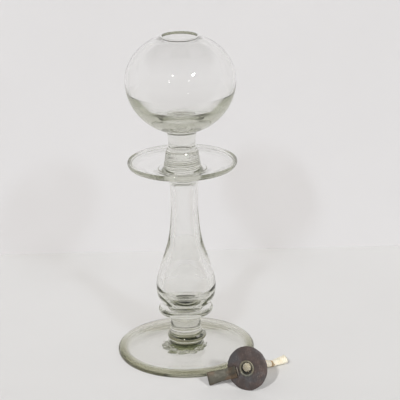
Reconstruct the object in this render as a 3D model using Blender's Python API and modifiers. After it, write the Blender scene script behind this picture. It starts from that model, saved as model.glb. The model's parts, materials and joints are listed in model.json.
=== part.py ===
"""Glass oil lamp with a loose drop burner.

A free-blown lamp: an open globe font on a solid neck, a drip pan, a hollow
baluster stem on a merese, a short base stem and a round foot with a folded
rim.  Its metal drop burner, with the wick in its tube, lies beside the foot.

Frame: origin at the centre of the foot's underside, +Z up, -Y to the front.
Sizes below are in millimetres; MM turns them into metres.
"""

from math import cos, pi, radians, sin

import bmesh
import bpy
from mathutils import Matrix, Vector

MM = 0.001
GAP = 0.3                      # clear space between neighbouring pieces

# Foot
FOOT_RADIUS = 52.9
FOOT_RIM_TOP = 6.55            # top of the folded rim
FOOT_KICK = 2.7                # height of the underside at the middle
FOOT_TOP = 10.8                # the foot rises to a waist under the ring
FOOT_WAIST = 12.2
PONTIL_RADIUS = 13.5
PONTIL_SHIFT = -3.5            # the scar sits a little left of the middle

# Stem, from the foot up
KNOP_RADIUS = 15.2
KNOP_TOP = 15.9
BASE_STEM_TOP = 32.9
BASE_STEM_RADIUS = 11.5
MERESE_RADIUS = 21.0
MERESE_RIM_HEIGHT = 36.1
MERESE_HALF = 2.3              # half of its edge's thickness
BALUSTER_BOTTOM = 38.6
BALUSTER_BELLY_HEIGHT = 53.5
BALUSTER_BELLY_RADIUS = 22.8
BALUSTER_WAIST_HEIGHT = 117.0
BALUSTER_WAIST_RADIUS = 10.3
BALUSTER_TOP = 139.6
BUBBLE_BOTTOM = 43.0           # the air bubble blown into it
BUBBLE_BELLY_HEIGHT = 56.0
BUBBLE_BELLY_RADIUS = 18.0
BUBBLE_BORE = 6.8              # radius of its long upper end
BALUSTER_SHIFT = 0.9           # it was stuck on a little right of the middle

# Drip pan and what is above it
PAN_RADIUS = 41.1
PAN_RIM_TOP = 155.3
PAN_FLOOR_UNDER = 145.6
PAN_FLOOR_TOP = 148.6
COLLAR_TOP = 163.6
COLLAR_FOOT_RADIUS = 18.0
COLLAR_TOP_RADIUS = 12.3
NECK_RADIUS = 10.1
NECK_TOP = 178.9

# Font: a round globe, flatter above its widest point
FONT_HEIGHT = 250.0
FONT_WIDEST = 216.2
FONT_RADIUS = 41.0
FONT_WALL = 1.6
FONT_RISE = 35.3               # how far its halves would reach above and below the widest
FONT_DEPTH = 39.4              # point, if they had no mouth and no neck
CAVITY_BOTTOM = 186.8
MOUTH_RADIUS = 12.6            # clear opening

# Drop burner: its disc faces -Y and to the left, and leans back
DISC_RADIUS = 16.4
DISC_THICKNESS = 0.9
DISC_TURN = radians(-29.2)
DISC_LEAN = radians(16.3)
DISC_CENTRE = (43.9, -69.8)
TUBE_BORE = 4.5                # radius
TUBE_OUTER = 5.0               # radius
TUBE_FRONT = 0.8               # how far the tube stands in front of the disc
TUBE_LENGTH = 18.0
HANDLE_WIDTH = 9.0
HANDLE_THICKNESS = 0.8
HANDLE_START = 8.6             # distances from the disc's middle, along the tab
HANDLE_END = 30.0
HANDLE_DROP = radians(24.0)    # how far the tab points down across the disc
HANDLE_BEND = radians(18.0)    # and how far it is bent forward off it
HANDLE_LIP = 1.8
HANDLE_SINK = 0.4              # its middle line passes this far under the disc's

# Wick
WICK_RADIUS = 3.0
WICK_OFFSET = 0.9              # the wick rides high in the tube
TAIL_POINTS = 15
THREAD_POINT = 8               # the tail's point that the thread is bound round
TAIL_ROUTE = [                 # from just behind the tube, down and over the table
    (57.4, -46.2, 8.9), (59.2, -43.0, 7.3), (60.8, -40.1, 5.6), (62.5, -37.5, 4.2),
    (64.5, -35.1, 3.4), (67.1, -32.9, 3.1), (70.1, -30.9, 3.1), (73.4, -29.0, 3.4),
    (76.6, -27.4, 4.0),
]
THREAD_RADIUS = 0.4


# ------------------------------------------------------------------ scene

def clear_scene():
    for old in list(bpy.data.objects):
        bpy.data.objects.remove(old, do_unlink=True)


def new_collection(name):
    group = bpy.data.collections.new(name)
    bpy.context.scene.collection.children.link(group)
    return group


def paint(name, colour, roughness, metallic=0.0, transmission=0.0):
    """A Principled material of one colour."""
    material = bpy.data.materials.new(name)
    material.use_nodes = True
    shader = material.node_tree.nodes["Principled BSDF"]
    shader.inputs["Base Color"].default_value = (*colour, 1.0)
    shader.inputs["Roughness"].default_value = roughness
    shader.inputs["Metallic"].default_value = metallic
    shader.inputs["Transmission Weight"].default_value = transmission
    material.diffuse_color = (*colour, 1.0)
    return material


def glass(name):
    return paint(name, (0.80, 0.86, 0.80), 0.02, transmission=1.0)


def add_object(name, mesh, material, group):
    piece = bpy.data.objects.new(name, mesh)
    piece.data.materials.append(material)
    group.objects.link(piece)
    return piece


# ------------------------------------------------------------ outline tools

def arc(centre, radii, start, end, steps):
    """Points on an ellipse's arc, angles in degrees from the +radius side."""
    points = []
    for i in range(steps + 1):
        a = radians(start + (end - start) * i / steps)
        points.append((centre[0] + radii[0] * cos(a), centre[1] + radii[1] * sin(a)))
    return points


def smooth_run(knots, per_span):
    """A smooth curve (Catmull-Rom) through the knots, of any dimension."""
    ends = [Vector(k) for k in knots]
    ends = [2 * ends[0] - ends[1]] + ends + [2 * ends[-1] - ends[-2]]
    points = []
    for a, b, c, d in zip(ends, ends[1:], ends[2:], ends[3:]):
        for i in range(per_span):
            t = i / per_span
            point = 0.5 * (2 * b + (c - a) * t + (2 * a - 5 * b + 4 * c - d) * t ** 2
                           + (3 * b - a - 3 * c + d) * t ** 3)
            points.append(tuple(point))
    points.append(tuple(ends[-2]))
    return points


def turned(name, outline, steps, material, group, closed=False):
    """Turn an outline of (radius, height) in mm about Z.

    The outline starts at the top and runs down the outer side.  A closed
    outline is a ring; an open one starts and ends on the axis.
    """
    mesh = bpy.data.meshes.new(name)
    shape = bmesh.new()
    corners = [shape.verts.new((r * MM, 0.0, z * MM)) for r, z in outline]
    for a, b in zip(corners, corners[1:]):
        shape.edges.new((a, b))
    if closed:
        shape.edges.new((corners[-1], corners[0]))
    shape.to_mesh(mesh)
    shape.free()
    piece = add_object(name, mesh, material, group)
    screw = piece.modifiers.new("turn", "SCREW")
    screw.axis = "Z"
    screw.steps = steps
    screw.render_steps = steps
    screw.use_merge_vertices = True
    screw.merge_threshold = 0.00001
    screw.use_smooth_shade = True
    return piece


# -------------------------------------------------------------- the glass

def build_foot(group):
    """A plate whose edge is folded under into a rounded rim."""
    edge = FOOT_RADIUS
    middle = [(0.0, FOOT_TOP), (FOOT_WAIST + 0.1, FOOT_TOP), (FOOT_WAIST, 9.4), (13.6, 7.3),
              (18.0, 6.4), (32.0, 5.8), (edge - 11.0, 5.7)]
    rim = smooth_run([(edge - 7.0, 6.1), (edge - 3.7, FOOT_RIM_TOP), (edge - 1.3, 5.9),
                      (edge, 3.2), (edge - 1.2, 0.7), (edge - 3.0, 0.0)], 2)
    under = [(edge - 6.5, 0.0), (30.0, 1.5), (15.0, FOOT_KICK - 0.2), (0.0, FOOT_KICK)]
    turned("foot_disc", middle + rim + under, 40, glass("foot_glass"), group)


def build_pontil_scar(group):
    """The broken patch under the foot's middle, its lowest face ground flat."""
    top = FOOT_KICK - GAP
    outline = [(0.0, top), (PONTIL_RADIUS - 1.5, top - 0.25), (PONTIL_RADIUS, 1.2),
               (PONTIL_RADIUS - 1.6, 0.35), (8.0, 0.0), (0.0, 0.0)]
    scar = turned("pontil_scar", outline, 24, glass("pontil_glass"), group)
    scar.location.x = PONTIL_SHIFT * MM


def build_base(group):
    bottom = FOOT_TOP + GAP
    middle = (bottom + KNOP_TOP) / 2
    ring = arc((KNOP_RADIUS - 2.2, middle), (2.2, (KNOP_TOP - bottom) / 2), 90, -90, 8)
    turned("base_knop", [(0.0, KNOP_TOP)] + ring + [(0.0, bottom)], 32,
           glass("knop_glass"), group)
    flare = smooth_run([(BASE_STEM_RADIUS + 0.3, BASE_STEM_TOP), (BASE_STEM_RADIUS, 29.5),
                        (BASE_STEM_RADIUS + 0.1, 24.5), (12.2, 20.0), (13.0, KNOP_TOP + GAP)], 2)
    turned("base_stem", [(0.0, BASE_STEM_TOP)] + flare + [(0.0, KNOP_TOP + GAP)], 32,
           glass("base_stem_glass"), group)


def build_merese(group):
    """The round-edged wafer between the baluster and the base stem."""
    edge = arc((MERESE_RADIUS - 2.2, MERESE_RIM_HEIGHT), (2.2, MERESE_HALF), 105, -80, 10)
    top = BALUSTER_BOTTOM - GAP
    bottom = BASE_STEM_TOP + GAP
    outline = ([(0.0, top), (13.4, top), (16.0, top - 0.1)] + edge
               + [(15.0, bottom + 0.5), (12.2, bottom), (0.0, bottom)])
    turned("stem_flange", outline, 36, glass("flange_glass"), group)


def baluster_outline():
    """The outside of the stem, from its top to its bottom edge."""
    return smooth_run([
        (11.2, BALUSTER_TOP), (10.6, 134.5), (BALUSTER_WAIST_RADIUS + 0.1, 125.0),
        (BALUSTER_WAIST_RADIUS, BALUSTER_WAIST_HEIGHT), (10.9, 107.5), (11.8, 99.0),
        (13.3, 91.0), (15.6, 83.0), (18.3, 75.0), (20.9, 66.8),
        (BALUSTER_BELLY_RADIUS - 0.2, 59.0), (BALUSTER_BELLY_RADIUS, BALUSTER_BELLY_HEIGHT),
        (22.0, 47.5), (19.6, 43.0), (15.8, 40.2), (13.0, BALUSTER_BOTTOM),
    ], 1)


def baluster_bubble():
    """The drop-shaped bubble, from its round bottom up its long bore."""
    belly = BUBBLE_BELLY_RADIUS
    height = BUBBLE_BELLY_HEIGHT
    bottom = arc((0.0, height), (belly, height - BUBBLE_BOTTOM), -72, 0, 6)
    return [(0.0, BUBBLE_BOTTOM)] + bottom + [
        (belly - 1.2, 63.0), (14.2, 70.0), (11.9, 77.0), (9.9, 85.0), (8.6, 93.0),
        (BUBBLE_BORE + 0.8, 101.0), (BUBBLE_BORE + 0.2, 110.0), (BUBBLE_BORE, 120.0),
        (BUBBLE_BORE, BALUSTER_TOP)]


def build_baluster(group):
    """One open line turned about Z: up the bubble's wall, over the top and down outside."""
    outline = baluster_bubble() + baluster_outline() + [(0.0, BALUSTER_BOTTOM)]
    stem = turned("baluster_stem", outline, 36, glass("baluster_glass"), group)
    stem.location.x = BALUSTER_SHIFT * MM


def build_pan(group):
    wafer = [(0.0, PAN_FLOOR_UNDER - GAP), (13.4, PAN_FLOOR_UNDER - GAP), (12.0, 143.8),
             (11.9, 142.4), (12.3, 141.2), (11.4, BALUSTER_TOP + GAP), (0.0, BALUSTER_TOP + GAP)]
    turned("pan_wafer", wafer, 28, glass("wafer_glass"), group)
    edge = PAN_RADIUS
    top = [(0.0, PAN_FLOOR_TOP), (19.0, PAN_FLOOR_TOP), (28.0, 149.7), (33.0, 151.4)]
    rim = smooth_run([(edge - 4.1, 153.5), (edge - 1.5, PAN_RIM_TOP), (edge, 153.7),
                      (edge - 0.6, 151.9), (edge - 2.6, 150.7)], 2)
    under = [(edge - 5.6, 149.7), (32.0, 148.5), (27.0, 146.9), (22.0, 146.0),
             (18.0, PAN_FLOOR_UNDER), (0.0, PAN_FLOOR_UNDER)]
    turned("drip_pan", top + rim + under, 40, glass("pan_glass"), group)


def build_collar_and_neck(group):
    bottom = PAN_FLOOR_TOP + GAP
    collar = [(0.0, COLLAR_TOP), (10.3, COLLAR_TOP), (COLLAR_TOP_RADIUS - 0.6, COLLAR_TOP - 0.2),
              (COLLAR_TOP_RADIUS, COLLAR_TOP - 1.0), (12.5, 161.0), (12.8, 158.0), (13.3, 155.0),
              (13.8, 152.0), (13.9, 150.2), (14.8, 149.6), (COLLAR_FOOT_RADIUS, bottom + 0.3),
              (COLLAR_FOOT_RADIUS, bottom), (0.0, bottom)]
    turned("pan_collar", collar, 32, glass("collar_glass"), group)
    base = COLLAR_TOP + GAP
    neck = smooth_run([(14.8, NECK_TOP), (12.7, 177.2), (11.1, 175.0), (NECK_RADIUS, 171.5),
                       (NECK_RADIUS, 168.0), (NECK_RADIUS, base)], 2)
    turned("font_neck", [(0.0, NECK_TOP - 1.4)] + neck + [(0.0, base)], 28,
           glass("neck_glass"), group)


def globe_side(radius, rise, depth, top, bottom):
    """The globe's side from its shoulder down, as half an ellipse over half another."""
    upper = arc((0.0, FONT_WIDEST), (radius, rise), top, 0, 6)
    lower = arc((0.0, FONT_WIDEST), (radius, depth), 0, bottom, 8)
    return upper + lower[1:]


def font_outside():
    """The globe's outer line, from the rim of the mouth down to its seat."""
    lip = [(MOUTH_RADIUS + 0.3, FONT_HEIGHT - 0.3), (MOUTH_RADIUS + 1.0, FONT_HEIGHT),
           (MOUTH_RADIUS + 1.9, FONT_HEIGHT - 0.3), (16.0, 249.0), (18.0, 248.05)]
    seat = [(15.2, NECK_TOP + GAP), (0.0, NECK_TOP - 1.4 + GAP)]
    return lip + globe_side(FONT_RADIUS, FONT_RISE, FONT_DEPTH, 61, -66) + seat


def font_cavity():
    """The globe's inner line, from the middle of its thick bottom up to the mouth."""
    bottom = [(0.0, CAVITY_BOTTOM), (8.5, CAVITY_BOTTOM + 0.3), (17.0, 188.6), (24.6, 192.2),
              (31.2, 197.8)]
    side = globe_side(FONT_RADIUS - FONT_WALL, FONT_RISE - FONT_WALL, FONT_DEPTH - 3.4, 64, -17)
    mouth = [(14.2, 247.3), (MOUTH_RADIUS + 0.4, 247.5), (MOUTH_RADIUS, 248.2)]
    return bottom + side[::-1] + mouth


def build_font(group):
    """The globe is one open line turned about Z: it starts and ends on the axis."""
    turned("font_globe", font_cavity() + font_outside(), 36, glass("font_glass"), group)


# ------------------------------------------------------------- the burner

def burner_frame():
    """The disc's own frame: X across it, Y up it, Z out of its front."""
    front = Vector((cos(DISC_LEAN) * sin(DISC_TURN), -cos(DISC_LEAN) * cos(DISC_TURN),
                    sin(DISC_LEAN)))
    across = Vector((cos(DISC_TURN), sin(DISC_TURN), 0.0))
    up = front.cross(across)
    height = DISC_RADIUS * up.z + DISC_THICKNESS * front.z + 0.1
    frame = Matrix((across, up, front)).transposed().to_4x4()
    frame.translation = Vector((*DISC_CENTRE, height)) * MM
    return frame


def sheet_metal(name):
    return paint(name, (0.16, 0.145, 0.135), 0.5, metallic=0.9)


def build_burner_disc(group, frame, root):
    """A thin round plate, dished a little, with the hole for the tube."""
    hole = TUBE_OUTER + GAP
    outline = [(hole, 0.0), (DISC_RADIUS * 0.72, 0.0), (DISC_RADIUS - 0.4, -0.5),
               (DISC_RADIUS, -0.5 - DISC_THICKNESS / 2), (DISC_RADIUS - 0.4, -0.5 - DISC_THICKNESS),
               (DISC_RADIUS * 0.72, -DISC_THICKNESS), (hole, -DISC_THICKNESS)]
    disc = turned("burner_disc", outline, 36, sheet_metal("disc_metal"), group, closed=True)
    place(disc, frame, root)


def build_wick_tube(group, frame, root):
    """A rolled tube with its front end flared over the disc."""
    front = TUBE_FRONT
    back = TUBE_FRONT - TUBE_LENGTH
    tube = [(TUBE_BORE, front - 0.2), (TUBE_OUTER + 0.3, front), (TUBE_OUTER + 1.1, front - 0.4),
            (TUBE_OUTER, GAP), (TUBE_OUTER, back), (TUBE_BORE, back)]
    piece = turned("wick_tube", tube, 20, sheet_metal("tube_metal"), group, closed=True)
    place(piece, frame, root)
    top = -DISC_THICKNESS - GAP
    fillet = [(TUBE_OUTER + GAP, top), (TUBE_OUTER + 2.4, top), (TUBE_OUTER + 1.1, top - 1.0),
              (TUBE_OUTER + GAP, top - 2.4)]
    solder = turned("tube_solder", fillet, 20, paint("solder_grey", (0.42, 0.41, 0.39), 0.45, 0.9),
                    group, closed=True)
    place(solder, frame, root)


def place(piece, frame, root):
    """Stand a piece made about the world's origin on the burner."""
    piece.parent = root
    piece.matrix_world = frame


def strip(name, centre_line, width, thickness, material, group):
    """A flat bar that follows a line in the local XZ plane, width along Y."""
    mesh = bpy.data.meshes.new(name)
    shape = bmesh.new()
    rows = []
    for x, z in centre_line:
        rows.append([shape.verts.new((x * MM, side * width / 2 * MM, z * MM)) for side in (-1, 1)])
    for a, b in zip(rows, rows[1:]):
        shape.faces.new((a[0], b[0], b[1], a[1]))
    shape.to_mesh(mesh)
    shape.free()
    piece = add_object(name, mesh, material, group)
    thicken = piece.modifiers.new("thickness", "SOLIDIFY")
    thicken.thickness = thickness * MM
    thicken.offset = 0.0
    round_off = piece.modifiers.new("edges", "BEVEL")
    round_off.width = 0.15 * MM
    round_off.segments = 1
    return piece


def build_handle(group, frame, root):
    """The tab on the disc's face, bent forward, with its end turned back."""
    lift = HANDLE_THICKNESS / 2 + GAP
    knee = DISC_RADIUS - 2.0
    reach = HANDLE_END - knee
    end_x = knee + reach * cos(HANDLE_BEND)
    end_z = lift + reach * sin(HANDLE_BEND)
    line = [(HANDLE_START, lift), (knee - 2.0, lift), (knee + 1.0, lift + 0.5),
            (end_x, end_z), (end_x + 1.1, end_z - 0.5), (end_x + 1.3, end_z - HANDLE_LIP)]
    tab = strip("burner_handle", line, HANDLE_WIDTH, HANDLE_THICKNESS,
                sheet_metal("handle_metal"), group)
    across = (Matrix.Translation(Vector((0.0, -HANDLE_SINK, 0.0)) * MM)
              @ Matrix.Rotation(pi + HANDLE_DROP, 4, "Z"))
    place(tab, frame @ across, root)
    bpy.ops.mesh.primitive_cube_add(size=1.0)
    solder = bpy.context.object
    solder.name = "handle_solder"
    solder.data.name = "handle_solder"
    length = 1.6
    half_width = HANDLE_WIDTH / 2 - 0.6
    solder.data.transform(Matrix.Diagonal((length * MM, 2 * half_width * MM, 0.9 * MM, 1.0)))
    solder.data.materials.append(paint("handle_solder_grey", (0.42, 0.41, 0.39), 0.45, 0.9))
    for owner in list(solder.users_collection):
        owner.objects.unlink(solder)
    group.objects.link(solder)
    soften = solder.modifiers.new("edges", "BEVEL")
    soften.width = 0.35 * MM
    soften.segments = 2
    offset = Matrix.Translation(Vector((HANDLE_START - GAP - length / 2, 0.0, GAP + 0.45)) * MM)
    place(solder, frame @ across @ offset, root)


# --------------------------------------------------------------- the wick

def wick_line(frame):
    """The wick's route in mm: along the tube, then down and over the table."""
    start = frame @ Vector((0.0, WICK_OFFSET * MM, 0.0)) / MM
    back = -(frame.to_3x3() @ Vector((0.0, 0.0, 1.0)))
    inside = [start, start + back * (TUBE_LENGTH - TUBE_FRONT - GAP)]
    leave = start + back * (TUBE_LENGTH - TUBE_FRONT)
    straight = [leave, leave + back * 4.5]
    return inside, [tuple(p) for p in straight] + TAIL_ROUTE


def rod(name, points, radius, sides, material, group):
    """A round rod on a polyline, as a closed mesh."""
    curve = bpy.data.curves.new(name, "CURVE")
    curve.dimensions = "3D"
    curve.bevel_depth = radius * MM
    curve.bevel_resolution = sides
    curve.use_fill_caps = True
    spline = curve.splines.new("POLY")
    spline.points.add(len(points) - 1)
    for knot, point in zip(spline.points, points):
        knot.co = (*(Vector(point) * MM), 1.0)
    piece = bpy.data.objects.new(name, curve)
    curve.materials.append(material)
    group.objects.link(piece)
    return piece


def evenly_spaced(points, count):
    """The same line as count points an equal distance apart."""
    line = [Vector(p) for p in points]
    steps = [(b - a).length for a, b in zip(line, line[1:])]
    total = sum(steps)
    spaced = [line[0]]
    for i in range(1, count - 1):
        target = total * i / (count - 1)
        run = 0.0
        for a, b, step in zip(line, line[1:], steps):
            if run + step >= target:
                spaced.append(a + (b - a) * ((target - run) / step))
                break
            run += step
    return spaced + [line[-1]]


def cotton(name):
    return paint(name, (0.80, 0.70, 0.50), 0.95)


def build_wick(group, frame, slide):
    inside, tail = wick_line(frame)
    core = rod("wick", inside, WICK_RADIUS, 3, cotton("wick_cotton"), group)
    core.parent = slide
    core.matrix_parent_inverse = slide.matrix_world.inverted()
    route = evenly_spaced(smooth_run(tail, 6), TAIL_POINTS)
    route[0] = Vector(tail[0])
    free = rod("wick_tail", route, WICK_RADIUS - 0.1, 2, cotton("tail_cotton"), group)
    free.parent = slide
    free.matrix_parent_inverse = slide.matrix_world.inverted()
    build_thread(group, route, slide)


def build_thread(group, route, slide):
    """A turn of thread bound round the tail where it lies on the table."""
    centre = route[THREAD_POINT]
    along = (route[THREAD_POINT + 1] - route[THREAD_POINT - 1]).normalized()
    side = along.cross(Vector((0.0, 0.0, 1.0))).normalized()
    up = side.cross(along)
    turn = WICK_RADIUS + THREAD_RADIUS + 0.35
    mesh = bpy.data.meshes.new("wick_thread")
    shape = bmesh.new()
    rows = []
    for i in range(20):
        a = 2 * pi * i / 20
        out = side * cos(a) + up * sin(a)
        row = []
        for j in range(6):
            b = 2 * pi * j / 6
            point = centre + out * (turn + THREAD_RADIUS * cos(b)) + along * THREAD_RADIUS * sin(b)
            row.append(shape.verts.new(point * MM))
        rows.append(row)
    for a, b in zip(rows, rows[1:] + rows[:1]):
        for j in range(6):
            k = (j + 1) % 6
            shape.faces.new((a[j], b[j], b[k], a[k]))
    bmesh.ops.recalc_face_normals(shape, faces=shape.faces)
    shape.to_mesh(mesh)
    shape.free()
    thread = add_object("wick_thread", mesh, cotton("thread_cotton"), group)
    thread.parent = slide
    thread.matrix_parent_inverse = slide.matrix_world.inverted()


def joint_empty(name, location, group):
    empty = bpy.data.objects.new(name, None)
    empty.empty_display_size = 0.01
    empty.location = location
    group.objects.link(empty)
    bpy.context.view_layer.update()
    return empty


def build_burner(group):
    frame = burner_frame()
    lift = joint_empty("burner_lift_axis", frame.translation, group)
    feed = joint_empty("wick_feed_axis", frame.translation, group)
    feed.parent = lift
    feed.matrix_parent_inverse = lift.matrix_world.inverted()
    build_burner_disc(group, frame, lift)
    build_wick_tube(group, frame, lift)
    build_handle(group, frame, lift)
    bpy.context.view_layer.update()
    build_wick(group, frame, feed)


def main():
    clear_scene()
    group = new_collection("glass_oil_lamp")
    build_foot(group)
    build_pontil_scar(group)
    build_base(group)
    build_merese(group)
    build_baluster(group)
    build_pan(group)
    build_collar_and_neck(group)
    build_font(group)
    build_burner(group)


main()
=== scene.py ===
"""Looks of the glass oil lamp and its loose drop burner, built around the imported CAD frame.

The lamp is clear free-blown glass.  Each gather of glass is a piece of its own, and neighbours
are fused: where two of them meet, their end faces let light straight through, so that the lamp
reads as one body of glass.  The drop burner is tinned sheet iron with a cotton wick.
"""

import json
from math import cos, pi, radians, sin, sqrt
from random import Random

import bpy
from mathutils import Matrix, Vector, noise


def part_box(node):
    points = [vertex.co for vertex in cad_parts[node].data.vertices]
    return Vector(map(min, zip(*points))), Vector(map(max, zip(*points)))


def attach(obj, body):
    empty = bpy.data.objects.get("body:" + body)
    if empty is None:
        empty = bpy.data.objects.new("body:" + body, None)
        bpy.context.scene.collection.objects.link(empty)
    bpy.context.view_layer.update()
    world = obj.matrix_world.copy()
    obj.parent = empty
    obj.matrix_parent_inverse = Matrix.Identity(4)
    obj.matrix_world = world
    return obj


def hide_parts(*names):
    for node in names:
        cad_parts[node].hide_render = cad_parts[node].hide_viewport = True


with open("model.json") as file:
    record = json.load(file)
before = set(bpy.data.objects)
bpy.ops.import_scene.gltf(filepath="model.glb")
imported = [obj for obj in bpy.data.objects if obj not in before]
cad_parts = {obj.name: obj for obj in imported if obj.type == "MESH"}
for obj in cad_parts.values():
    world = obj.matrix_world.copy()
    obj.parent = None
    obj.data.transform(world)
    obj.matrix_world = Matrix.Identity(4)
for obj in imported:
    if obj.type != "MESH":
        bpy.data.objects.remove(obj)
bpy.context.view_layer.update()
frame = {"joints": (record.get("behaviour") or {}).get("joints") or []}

MM = 0.001

# Camera: a long lens 1.1 m in front of the lamp and half a metre above its table, looking down
CAMERA_BACK = 1.1355
CAMERA_HEIGHT = 0.5193
CAMERA_PITCH = radians(19.23)
CAMERA_YAW = radians(-0.64)
CAMERA_ROLL = radians(1.06)
CAMERA_LENS = 144.0
CAMERA_SENSOR = 36.0

# Two soft lamps in front of the object, one each side.
# Name, azimuth, elevation and width in degrees, and strength
LAMPS = [
    ("lamp_left", -20.0, 35.8, 3.6, 1.75),
    ("lamp_right", 29.5, 35.8, 3.6, 1.50),
]

# How fast each colour fades in the glass, per metre: red, green, blue
BODY_FADING = (6.0, 5.8, 7.8)
FOOT_FADING = (11.0, 11.1, 15.5)
# The pontil scar's glass fades light far faster than the rest: its glass tint plus painted shade
# under and among its lumps
SCAR_FADING_AND_SHADE = (120.0, 112.0, 165.0)
# Folded rims, where the glass is made to fade light faster than the rest: painted shade, heaviest
# at the front.  The radii in mm between which this sets in, and how many times faster it gets at
# the front and at the back
FOOT_RIM_SHADE = (44.0, 50.0, 14.0, 3.0)
PAN_RIM_SHADE = (35.0, 39.5, 4.5, 2.0)
GLASS_IOR = 1.5
GLASS_RIPPLE = 0.02            # height of the ripples in the glass's surface, in mm

# The stage, in metres: a white wall behind the lamp, and a far larger white table
WALL_BACK = 0.2157
WALL_HEIGHT = 0.45
WALL_HALF = 3.0
FLOOR_HALF = 14.0
WALL_COLOUR = (0.545, 0.538, 0.542)
FLOOR_COLOUR = (0.700, 0.695, 0.689)
# painted shade: the table's colour is made darker towards the wall's foot
FLOOR_WALL_SHADE = 0.90               # how bright the table is at the wall's foot, against the front

AROUND = 144                   # steps round a turned piece
JOINT_LAP = 0.01               # fused pieces reach this far into each other, in mm
OWN, FUSED = 0, 1              # material slots of a piece: its own look, and a fused end


# ------------------------------------------------------------------ curves

def arc(centre, radii, start, end, steps):
    """Points on an ellipse's arc, angles in degrees from the +radius side."""
    points = []
    for i in range(steps + 1):
        a = radians(start + (end - start) * i / steps)
        points.append((centre[0] + radii[0] * cos(a), centre[1] + radii[1] * sin(a)))
    return points


def smooth_run(knots, per_span):
    """A smooth curve (Catmull-Rom) through the knots, of any dimension."""
    ends = [Vector(k) for k in knots]
    ends = [2 * ends[0] - ends[1]] + ends + [2 * ends[-1] - ends[-2]]
    points = []
    for i in range(1, len(ends) - 2):
        p0, p1, p2, p3 = ends[i - 1:i + 3]
        for k in range(per_span):
            t = k / per_span
            points.append(0.5 * (2 * p1 + (p2 - p0) * t
                                 + (2 * p0 - 5 * p1 + 4 * p2 - p3) * t * t
                                 + (3 * p1 - p0 - 3 * p2 + p3) * t ** 3))
    points.append(ends[-2])
    return points


def evenly(points, count):
    """The same line with its points at equal distances."""
    points = [Vector(p) for p in points]
    far = [0.0]
    for a, b in zip(points, points[1:]):
        far.append(far[-1] + (b - a).length)
    result = []
    i = 0
    for k in range(count):
        d = far[-1] * k / (count - 1)
        while i < len(far) - 2 and far[i + 1] < d:
            i += 1
        span = far[i + 1] - far[i]
        result.append(points[i].lerp(points[i + 1], (d - far[i]) / span if span else 0.0))
    return result


def line_length(points):
    return sum((Vector(b) - Vector(a)).length for a, b in zip(points, points[1:]))


# ------------------------------------------------------------------ objects and shader nodes

def new_object(name, data):
    thing = bpy.data.objects.new(name, data)
    bpy.context.scene.collection.objects.link(thing)
    return thing


def new_material(name):
    material = bpy.data.materials.new(name)
    material.use_nodes = True
    material.node_tree.nodes.clear()
    return material


class Nodes:
    """Short ways to add shader nodes to one tree."""

    def __init__(self, tree):
        self.tree = tree

    def add(self, kind, links=None, **settings):
        node = self.tree.nodes.new(kind)
        for key, value in settings.items():
            setattr(node, key, value)
        for socket, value in (links or {}).items():
            self.put(node.inputs[socket], value)
        return node

    def put(self, socket, value):
        if isinstance(value, bpy.types.NodeSocket):
            self.tree.links.new(value, socket)
        else:
            socket.default_value = value

    def math(self, operation, a, b=0.0):
        return self.add("ShaderNodeMath", {0: a, 1: b}, operation=operation).outputs[0]

    def mix(self, factor, a, b):
        node = self.add("ShaderNodeMix", data_type="RGBA")
        self.put(node.inputs["Factor"], factor)
        self.put(node.inputs[6], a)
        self.put(node.inputs[7], b)
        return node.outputs[2]

    def ramp(self, factor, stops):
        node = self.add("ShaderNodeValToRGB", {"Fac": factor})
        elements = node.color_ramp.elements
        while len(elements) < len(stops):
            elements.new(0.5)
        for element, (place, colour) in zip(elements, stops):
            element.position = place
            element.color = colour if len(colour) == 4 else (*colour, 1.0)
        return node.outputs["Color"]

    def output(self, surface):
        self.add("ShaderNodeOutputMaterial", {"Surface": surface})


def grey(value):
    return (value, value, value, 1.0)


# ------------------------------------------------------------------ stage

def add_camera():
    data = bpy.data.cameras.new("camera")
    data.lens = CAMERA_LENS
    data.sensor_width = CAMERA_SENSOR
    data.clip_end = 100.0
    camera = new_object("camera", data)
    camera.matrix_world = (Matrix.Translation((0, -CAMERA_BACK, CAMERA_HEIGHT))
                           @ Matrix.Rotation(CAMERA_YAW, 4, "Z")
                           @ Matrix.Rotation(pi / 2 - CAMERA_PITCH, 4, "X")
                           @ Matrix.Rotation(-CAMERA_ROLL, 4, "Z"))
    bpy.context.scene.camera = camera


def add_lamps():
    for name, azimuth, elevation, width, power in LAMPS:
        data = bpy.data.lights.new(name, "SUN")
        data.energy = power
        data.angle = radians(width)
        lamp = new_object(name, data)
        a, e = radians(azimuth), radians(elevation)
        towards = Vector((sin(a) * cos(e), -cos(a) * cos(e), sin(e)))
        lamp.rotation_mode = "QUATERNION"
        lamp.rotation_quaternion = towards.to_track_quat("Z", "Y")


def add_world():
    """A pale studio, bright low down, with a dark ceiling."""
    world = bpy.data.worlds.new("studio")
    bpy.context.scene.world = world
    world.use_nodes = True
    tree = world.node_tree
    tree.nodes.clear()
    n = Nodes(tree)
    place = n.add("ShaderNodeTexCoord").outputs["Generated"]
    parts = n.add("ShaderNodeSeparateXYZ", {0: place})
    behind = n.ramp(parts.outputs["Z"], [(0.0, (0.76, 0.75, 0.75)), (0.50, (0.78, 0.77, 0.77)),
                                         (0.70, (0.12, 0.11, 0.09)), (1.0, (0.10, 0.09, 0.08))])
    before = n.ramp(parts.outputs["Z"], [(0.0, (0.66, 0.65, 0.63)), (0.45, (0.64, 0.63, 0.62)),
                                         (0.70, (0.45, 0.44, 0.43)), (1.0, (0.12, 0.11, 0.10))])
    side = n.add("ShaderNodeMapRange", {"Value": parts.outputs["Y"], "From Min": -0.35,
                                        "From Max": 0.25}, interpolation_type="SMOOTHSTEP")
    colour = n.mix(side.outputs[0], before, behind)
    background = n.add("ShaderNodeBackground", {"Color": colour, "Strength": 1.0})
    n.add("ShaderNodeOutputWorld", {"Surface": background.outputs[0]})


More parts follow.
